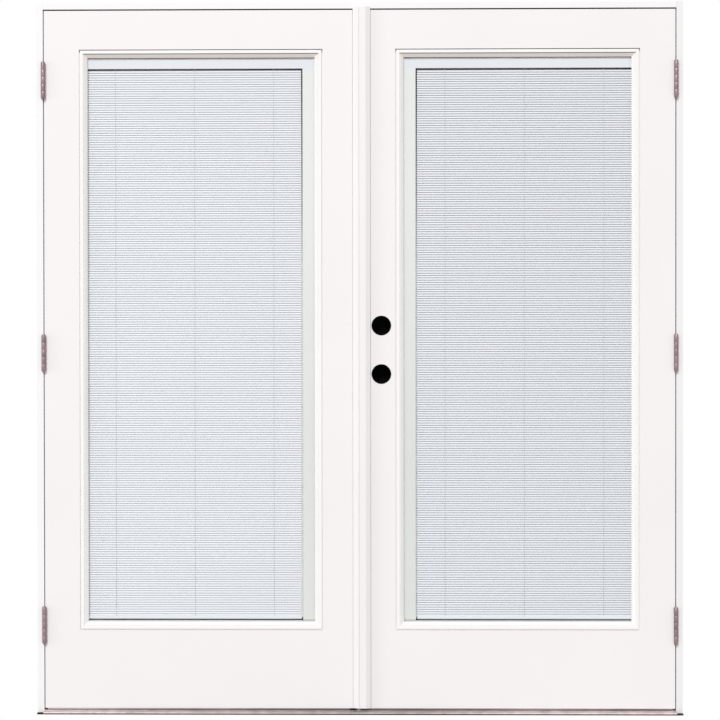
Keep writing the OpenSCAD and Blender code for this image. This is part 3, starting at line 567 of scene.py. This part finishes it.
SINGLE_EDGES = {"head_jamb": 0.8 * MM, "threshold": 0.4 * MM}


def dress(node, material):
    """Gives a CAD node its material."""
    node.data.materials.clear()
    node.data.materials.append(material)


def soften(node, width):
    """Rounds a CAD node's sharp edges a little."""
    weld = node.modifiers.new("weld", "WELD")
    weld.merge_threshold = 0.002 * MM
    bevel = node.modifiers.new("bevel", "BEVEL")
    bevel.width = width
    bevel.segments = 2
    bevel.limit_method = "ANGLE"
    bevel.angle_limit = math.radians(40)
    bevel.harden_normals = True


for part, material in LEAF_MATERIALS.items():
    for side in SIDES:
        dress(nodes[f"{side}_{part}"], material)
for part, material in SINGLE_MATERIALS.items():
    dress(nodes[part], material)
for part, width in LEAF_EDGES.items():
    for side in SIDES:
        soften(nodes[f"{side}_{part}"], width)
for part, width in SINGLE_EDGES.items():
    soften(nodes[part], width)


# Pieces

def new_piece(name, mesh, materials, body):
    """Links a bmesh as a piece that rides on a body."""
    data = bpy.data.meshes.new(name)
    mesh.to_mesh(data)
    mesh.free()
    for material in materials:
        data.materials.append(material)
    piece = bpy.data.objects.new(name, data)
    bpy.context.scene.collection.objects.link(piece)
    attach(piece, body)
    return piece


def shade_smooth(mesh, sharp_angle):
    """Smooth faces, with edges sharper than an angle kept crisp."""
    for face in mesh.faces:
        face.smooth = True
    for edge in mesh.edges:
        edge.smooth = edge.calc_face_angle(0.0) < sharp_angle


def closed_piece(name, mesh, material, body, sharp=None):
    """Turns closed shells outwards and links them as a piece, smooth up to an angle in degrees if given."""
    bmesh.ops.recalc_face_normals(mesh, faces=mesh.faces)
    if sharp:
        shade_smooth(mesh, math.radians(sharp))
    return new_piece(name, mesh, (material,), body)


def loft(mesh, loops, shaded=(), round_again=False):
    """Joins loops of points into a skin, with end faces or on round to the first loop.

    Faces of the shaded columns take the second material.
    """
    rings = [[mesh.verts.new(point) for point in loop] for loop in loops]
    count = len(rings[0])
    next_rings = rings[1:] + rings[:1] if round_again else rings[1:]
    for ring, following in zip(rings, next_rings):
        for i in range(count):
            j = (i + 1) % count
            face = mesh.faces.new((ring[i], ring[j], following[j], following[i]))
            face.material_index = int(i in shaded)
    if not round_again:
        mesh.faces.new(rings[0][::-1])
        mesh.faces.new(rings[-1])


def slat_outline(width, tilt):
    """Points of a crowned slat's section as depth and height, turned by its tilt."""
    points = []
    for lift in (SLAT_T, 0.0):
        row = []
        for i in range(SLAT_COLUMNS):
            across = (i / (SLAT_COLUMNS - 1) - 0.5) * width
            crown = SLAT_CROWN * (1 - (2 * across / SLAT_W) ** 2)
            row.append((across, crown + lift))
        points += row if lift else row[::-1]
    cos, sin = math.cos(tilt), math.sin(tilt)
    return [(y * cos - z * sin, y * sin + z * cos) for y, z in points]


def slat_rows(side):
    """Half-height of a slat, number of steps down the blind and the drop of a step."""
    low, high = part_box(f"{side}_slats")
    half_h = SLAT_W / 2 * math.sin(SLAT_TILT) + SLAT_T * math.cos(SLAT_TILT)
    fall = high.z - low.z - 2 * half_h
    steps = round(fall / SLAT_PITCH)
    return half_h, steps, fall / steps


def make_slats(side):
    """Crowned slats with rounded ends, each a little off true and shaded under the slat above."""
    low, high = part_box(f"{side}_slats")
    middle_y = (low.y + high.y) / 2
    half_h, steps, drop = slat_rows(side)
    first_z = high.z - half_h
    stations = [(low.x + run, share) for run, share in SLAT_ENDS]
    stations += [(high.x - run, share) for run, share in reversed(SLAT_ENDS)]
    swing = 0.5
    mesh = bmesh.new()
    for i in range(steps + 1):
        tilt = SLAT_TILT + math.radians(rng.uniform(-swing, swing))
        z = first_z - i * drop
        loops = []
        for x, share in stations:
            outline = slat_outline(SLAT_W * share, tilt)
            loops.append([(x, middle_y + dy, z + dz) for dy, dz in outline])
        loft(mesh, loops, SHADED_COLUMNS)
    shade_smooth(mesh, math.radians(50))
    piece = new_piece(f"{side}_slat_set", mesh, (slat_paint, slat_shades[side]), f"{side}_leaf")
    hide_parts(f"{side}_slats")
    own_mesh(piece)


def tube(mesh, start, end, radius, sides=6):
    """Straight round bar between two points."""
    along = (end - start).normalized()
    across = along.orthogonal().normalized()
    other = along.cross(across)
    loops = []
    for centre in (start, end):
        turns = [2 * math.pi * i / sides for i in range(sides)]
        loops.append([centre + radius * (math.cos(a) * across + math.sin(a) * other) for a in turns])
    loft(mesh, loops)


def make_ladders(side):
    """Ladder cords: two uprights at each ladder and a rung under each slat."""
    slat_low, slat_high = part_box(f"{side}_slats")
    low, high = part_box(f"{side}_ladder_cords")
    first_x = slat_low.x + LADDER_INSET
    last_x = slat_high.x - LADDER_INSET
    half_h, steps, drop = slat_rows(side)
    front_y = low.y + CORD_R
    rear_y = high.y - CORD_R
    rung_r = 0.15 * MM
    rung_rise = half_h * 0.9
    mesh = bmesh.new()
    for x in (first_x, (first_x + last_x) / 2, last_x):
        tube(mesh, Vector((x, front_y, low.z)), Vector((x, front_y, high.z)), CORD_R)
        tube(mesh, Vector((x, rear_y, low.z)), Vector((x, rear_y, high.z)), CORD_R)
        for i in range(steps):
            z = slat_high.z - half_h - (i + 0.5) * drop
            lower = Vector((x + CORD_R, front_y, z - rung_rise))
            upper = Vector((x + CORD_R, rear_y, z + rung_rise))
            tube(mesh, lower, upper, rung_r, sides=4)
    shade_smooth(mesh, math.radians(70))
    piece = new_piece(f"{side}_ladders", mesh, (cord_braid,), f"{side}_leaf")
    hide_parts(f"{side}_ladder_cords")
    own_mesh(piece)


def make_fringe(side):
    """Tufts of pile that close the gap between the operator channel and the slats."""
    channel_low, channel_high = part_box(f"{side}_operator_channel")
    slat_low, slat_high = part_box(f"{side}_slats")
    seal_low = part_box(f"{side}_light_seal")[0]
    edges = (channel_high.x, slat_low.x) if side == "right" else (slat_high.x, channel_low.x)
    air = 0.4 * MM
    low_x, high_x = edges[0] + air, edges[1] - air
    step = 4.0 * MM
    root_half_h = 1.9 * MM
    tip_inset = 0.3 * MM
    count = int((channel_high.z - channel_low.z) / step)
    mesh = bmesh.new()
    for i in range(count):
        z = channel_low.z + (i + 0.5) * step
        tip_y = slat_low.y + rng.uniform(0.2, 0.8) * MM
        tip_half_h = rng.uniform(1.2, 1.8) * MM
        loops = []
        for y, half_h, inset in ((seal_low.y, root_half_h, 0.0), (tip_y, tip_half_h, tip_inset)):
            left, right = low_x + inset, high_x - inset
            bottom, top = z - half_h, z + half_h
            loops.append([(left, y, bottom), (right, y, bottom), (right, y, top), (left, y, top)])
        loft(mesh, loops)
    closed_piece(f"{side}_pile_fringe", mesh, pile, f"{side}_leaf")


def make_bedding(side, place, floor_y, front_y):
    """Mitred ring of bedding in the groove round a lite frame."""
    low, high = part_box(f"{side}_{place}_lite_frame")
    groove = (2.3 * MM, 0.2 * MM)
    rings = []
    for out in groove:
        left, right = low.x - out, high.x + out
        bottom, top = low.z - out, high.z + out
        rings.append(((left, bottom), (right, bottom), (right, top), (left, top)))
    outer, inner = rings
    corners = []
    for (outer_x, outer_z), (inner_x, inner_z) in zip(outer, inner):
        corners.append([
            (outer_x, front_y, outer_z), (inner_x, front_y, inner_z), (inner_x, floor_y, inner_z),
            (outer_x, floor_y, outer_z),
        ])
    mesh = bmesh.new()
    loft(mesh, corners, round_again=True)
    closed_piece(f"{side}_{place}_bedding", mesh, bedding, f"{side}_leaf")


def make_strip_bead(side, foot_x, outward):
    """Fine bead of sealant along the foot of the meeting strip, grey enough to also paint the shade line
    along that joint.
    """
    low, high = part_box(f"{side}_slab")
    bead_r = 1.0 * MM
    foot_gap = 1 * MM
    corners = 5
    section = [(foot_x, low.y)]
    for i in range(corners):
        turn = math.radians(90 * i / (corners - 1))
        section.append((foot_x + outward * bead_r * math.sin(turn), low.y - bead_r * math.cos(turn)))
    mesh = bmesh.new()
    loft(mesh, [[(x, y, z) for x, y in section] for z in (low.z + foot_gap, high.z)])
    closed_piece(f"{side}_strip_bead", mesh, sealant, f"{side}_leaf", sharp=40)


def islands(name):
    """Boxes of a CAD node's loose solids, in order of their lowest corners."""
    mesh = bmesh.new()
    mesh.from_mesh(nodes[name].data)
    bmesh.ops.remove_doubles(mesh, verts=mesh.verts, dist=0.01 * MM)
    waiting = set(mesh.verts)
    boxes = []
    while waiting:
        reached = [waiting.pop()]
        for vert in reached:
            near = {edge.other_vert(vert) for edge in vert.link_edges} & waiting
            waiting -= near
            reached += near
        points = [vert.co for vert in reached]
        boxes.append((Vector(map(min, zip(*points))), Vector(map(max, zip(*points)))))
    mesh.free()
    return sorted(boxes, key=lambda box: tuple(box[0]))


def screw(mesh, head, along, head_r, shank_r, length):
    """Countersunk screw with a cross recess, from the middle of its head's face inwards."""
    across = along.orthogonal().normalized()
    other = along.cross(across)
    quarter = ((-14, False), (-11, True), (11, True), (14, False), (45, False))
    spokes = [(math.radians(90 * k + angle), in_arm) for k in range(4) for angle, in_arm in quarter]
    recess = 0.35 * head_r
    rim = 0.06 * head_r
    neck = rim + head_r - shank_r
    # Radius, depth between the arms of the recess and depth in the arms
    profile = (
        (0.08 * head_r, recess, recess), (0.52 * head_r, 0.0, recess), (0.56 * head_r, 0.0, 0.0),
        (0.94 * head_r, 0.0, 0.0), (head_r, rim, rim), (shank_r, neck, neck),
        (shank_r, 0.85 * length, 0.85 * length), (0.15 * shank_r, length, length),
    )
    loops = []
    for radius, depth, arm_depth in profile:
        loop = []
        for angle, in_arm in spokes:
            out = math.cos(angle) * across + math.sin(angle) * other
            loop.append(head + radius * out + (arm_depth if in_arm else depth) * along)
        loops.append(loop)
    loft(mesh, loops)


def screw_piece(name, mesh, body):
    """Links a mesh of screws as a nickel piece."""
    return closed_piece(name, mesh, nickel, body, sharp=35)


def make_hinge_screws(side, part, body, inward):
    """Hinge screws in place of the plain ones, driven the way given along X."""
    name = f"{side}_{part}_hinge_screws"
    shank_r = 2.4 * MM
    mesh = bmesh.new()
    for low, high in islands(name):
        middle = (low + high) / 2
        head = Vector((low.x if inward > 0 else high.x, middle.y, middle.z))
        head_r = (high.z - low.z) / 2
        screw(mesh, head, Vector((inward, 0, 0)), head_r, shank_r, high.x - low.x)
    piece = screw_piece(f"{side}_{part}_cross_screws", mesh, body)
    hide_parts(name)


def make_plate_screws(name, body, face_axis, along_axis, inward, inset):
    """Two small screws near the ends of each plate of a CAD node."""
    head_r = 3.2 * MM
    shank_r = 1.5 * MM
    length = 9 * MM
    proud = 0.15 * MM
    mesh = bmesh.new()
    along = Vector((0, 0, 0))
    along[face_axis] = inward
    for low, high in islands(name):
        for end in (low[along_axis] + inset, high[along_axis] - inset):
            head = (low + high) / 2
            head[along_axis] = end
            head[face_axis] = (low if inward > 0 else high)[face_axis] - inward * proud
            screw(mesh, head, along, head_r, shank_r, length)
    screw_piece(f"{name}_screws", mesh, body)


def turned(mesh, centre, face_y, profile, sides, round_again=False):
    """Profile of radius and offset along Y from a face, in mm, turned about a centre in X and Z."""
    turns = [2 * math.pi * k / sides for k in range(sides)]
    centre_x, centre_z = centre
    loops = []
    for radius, offset in profile:
        r = radius * MM
        y = face_y + offset * MM
        loops.append([(centre_x + r * math.cos(a), y, centre_z + r * math.sin(a)) for a in turns])
    loft(mesh, loops, round_again=round_again)


def make_bore_sleeves():
    """Flanged black sleeves in the lock bores."""
    slab_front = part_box("right_slab")[0].y
    profile = (
        (26.8, 43.0), (26.8, -0.02), (28.4, -0.02), (28.4, -0.5), (28.0, -0.8), (26.2, -0.9), (25.6, -0.5),
        (25.6, 43.0),
    )
    mesh = bmesh.new()
    for low, high in islands("bore_caps"):
        middle = (low + high) / 2
        turned(mesh, (middle.x, middle.z), slab_front, profile, sides=64, round_again=True)
    closed_piece("bore_sleeves", mesh, cap_plastic, "right_leaf", sharp=40)


def make_slider_grip(side):
    """Ribs across the slider's thumb scoop."""
    low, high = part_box(f"{side}_operator_slider")
    middle_z = (low.z + high.z) / 2
    scoop_r = 60 * MM
    scoop_depth = 3 * MM
    rib_r = 0.8 * MM
    rib_inset = 3 * MM
    rib_step = 4.5 * MM
    ribs_each_way = 3
    mesh = bmesh.new()
    for i in range(-ribs_each_way, ribs_each_way + 1):
        dz = i * rib_step
        y = high.y + scoop_r - scoop_depth - math.sqrt(scoop_r ** 2 - dz ** 2)
        start = Vector((low.x + rib_inset, y, middle_z + dz))
        end = Vector((high.x - rib_inset, y, middle_z + dz))
        tube(mesh, start, end, rib_r, sides=10)
    closed_piece(f"{side}_slider_grip", mesh, operator_plastic, f"{side}_operator", sharp=50)


def make_lite_plugs(side):
    """Small domed plugs over the lite frame's screws, on the inside."""
    low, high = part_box(f"{side}_interior_lite_frame")
    inset = 4.8 * MM
    end_gap = 60 * MM
    profile = ((3.2, -0.5), (3.2, 0.3), (2.8, 0.55), (1.6, 0.7), (0.3, 0.75))
    uprights = 7
    level = 4
    places = []
    for i in range(uprights):
        z = low.z + end_gap + i * (high.z - low.z - 2 * end_gap) / (uprights - 1)
        places += [(low.x + inset, z), (high.x - inset, z)]
    for i in range(1, level):
        x = low.x + i * (high.x - low.x) / level
        places += [(x, low.z + inset), (x, high.z - inset)]
    mesh = bmesh.new()
    for place in places:
        turned(mesh, place, high.y, profile, sides=16)
    closed_piece(f"{side}_lite_plugs", mesh, lite_plastic, f"{side}_leaf", sharp=45)


X_AXIS = 0
Z_AXIS = 2
BEDDING_T = 0.6 * MM
rear_floor_y = slab_high.y - REBATE_D
front_floor_y = slab_low.y + REBATE_D
for side, outward in (("left", -1), ("right", 1)):
    make_slats(side)
    make_ladders(side)
    make_fringe(side)
    make_bedding(side, "exterior", front_floor_y, front_floor_y - BEDDING_T)
    make_bedding(side, "interior", rear_floor_y, rear_floor_y + BEDDING_T)
    make_hinge_screws(side, "door", f"{side}_leaf", -outward)
    make_hinge_screws(side, "frame", "frame", outward)
    make_slider_grip(side)
    make_lite_plugs(side)
make_strip_bead("left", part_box("left_astragal")[0].x, -1)
make_strip_bead("right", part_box("right_astragal")[1].x, 1)
make_bore_sleeves()
make_plate_screws("latch_strikes", "left_leaf", X_AXIS, Z_AXIS, -1, 6 * MM)
make_plate_screws("bolt_guides", "left_leaf", X_AXIS, Z_AXIS, -1, 8 * MM)
make_plate_screws("bolt_strike", "frame", Z_AXIS, X_AXIS, 1, 5 * MM)


# Stage, light and camera

def make_floor():
    """Pale floor behind the doors' front that fades into the white background away from them."""
    mesh = bmesh.new()
    bmesh.ops.create_circle(mesh, cap_ends=True, segments=96, radius=FLOOR_R)
    data = bpy.data.meshes.new("floor")
    mesh.to_mesh(data)
    mesh.free()
    floor = bpy.data.objects.new("floor", data)
    bpy.context.scene.collection.objects.link(floor)
    material, tree, shader = new_material("floor")
    shader.inputs["Base Color"].default_value = (*FLOOR_GREY, 1)
    shader.inputs["Roughness"].default_value = 0.9
    shader.inputs["Specular IOR Level"].default_value = 0.0
    aside = add_node(tree, "ShaderNodeMath", operation="ABSOLUTE")
    tree.links.new(axis(tree, "X"), aside.inputs[0])
    depth = axis(tree, "Y")
    near_front = rise(tree, depth, *FLOOR_FRONT)
    near_back = rise(tree, depth, *FLOOR_BACK)
    near_sides = rise(tree, aside.outputs["Value"], *FLOOR_SIDES)
    solid = product(tree, product(tree, near_front, near_back), near_sides)
    clear = add_node(tree, "ShaderNodeBsdfTransparent")
    mix_shaders(tree, solid, clear, shader)
    data.materials.append(material)


def make_world(strength):
    """White where the camera, gloss or glass sees it, and a plain level of light otherwise."""
    world = bpy.data.worlds.new("studio")
    world.use_nodes = True
    tree = world.node_tree
    background = tree.nodes["Background"]
    background.inputs["Color"].default_value = (1, 1, 1, 1)
    seen = any_ray(tree, ("Is Camera Ray", "Is Glossy Ray", "Is Transmission Ray"))
    tree.links.new(spread(tree, seen, strength, 1.0), background.inputs["Strength"])
    bpy.context.scene.world = world


def make_lamp(name, place, target, size, power):
    """Square soft lamp aimed at a point."""
    data = bpy.data.lights.new(name, "AREA")
    data.shape = "SQUARE"
    data.size = size
    data.energy = power
    lamp = bpy.data.objects.new(name, data)
    lamp.location = place
    lamp.rotation_euler = (Vector(target) - Vector(place)).to_track_quat("-Z", "Y").to_euler()
    bpy.context.scene.collection.objects.link(lamp)


def make_camera():
    """Camera at the photograph's viewpoint."""
    data = bpy.data.cameras.new("camera")
    data.lens = CAMERA_LENS
    data.sensor_width = SENSOR_W
    camera = bpy.data.objects.new("camera", data)
    turn = Matrix.Rotation(CAMERA_YAW, 4, "Z") @ Matrix.Rotation(CAMERA_PITCH, 4, "X")
    turn = turn @ Matrix.Rotation(CAMERA_ROLL, 4, "Y") @ Matrix.Rotation(math.radians(90), 4, "X")
    camera.matrix_world = Matrix.Translation(CAMERA_PLACE) @ turn
    bpy.context.scene.collection.objects.link(camera)
    bpy.context.scene.camera = camera


make_floor()
make_world(WORLD_LIGHT)
for name, place, target, size, power in LAMPS:
    make_lamp(name, place, target, size, power)
make_camera()
bpy.context.scene.view_settings.view_transform = "Standard"
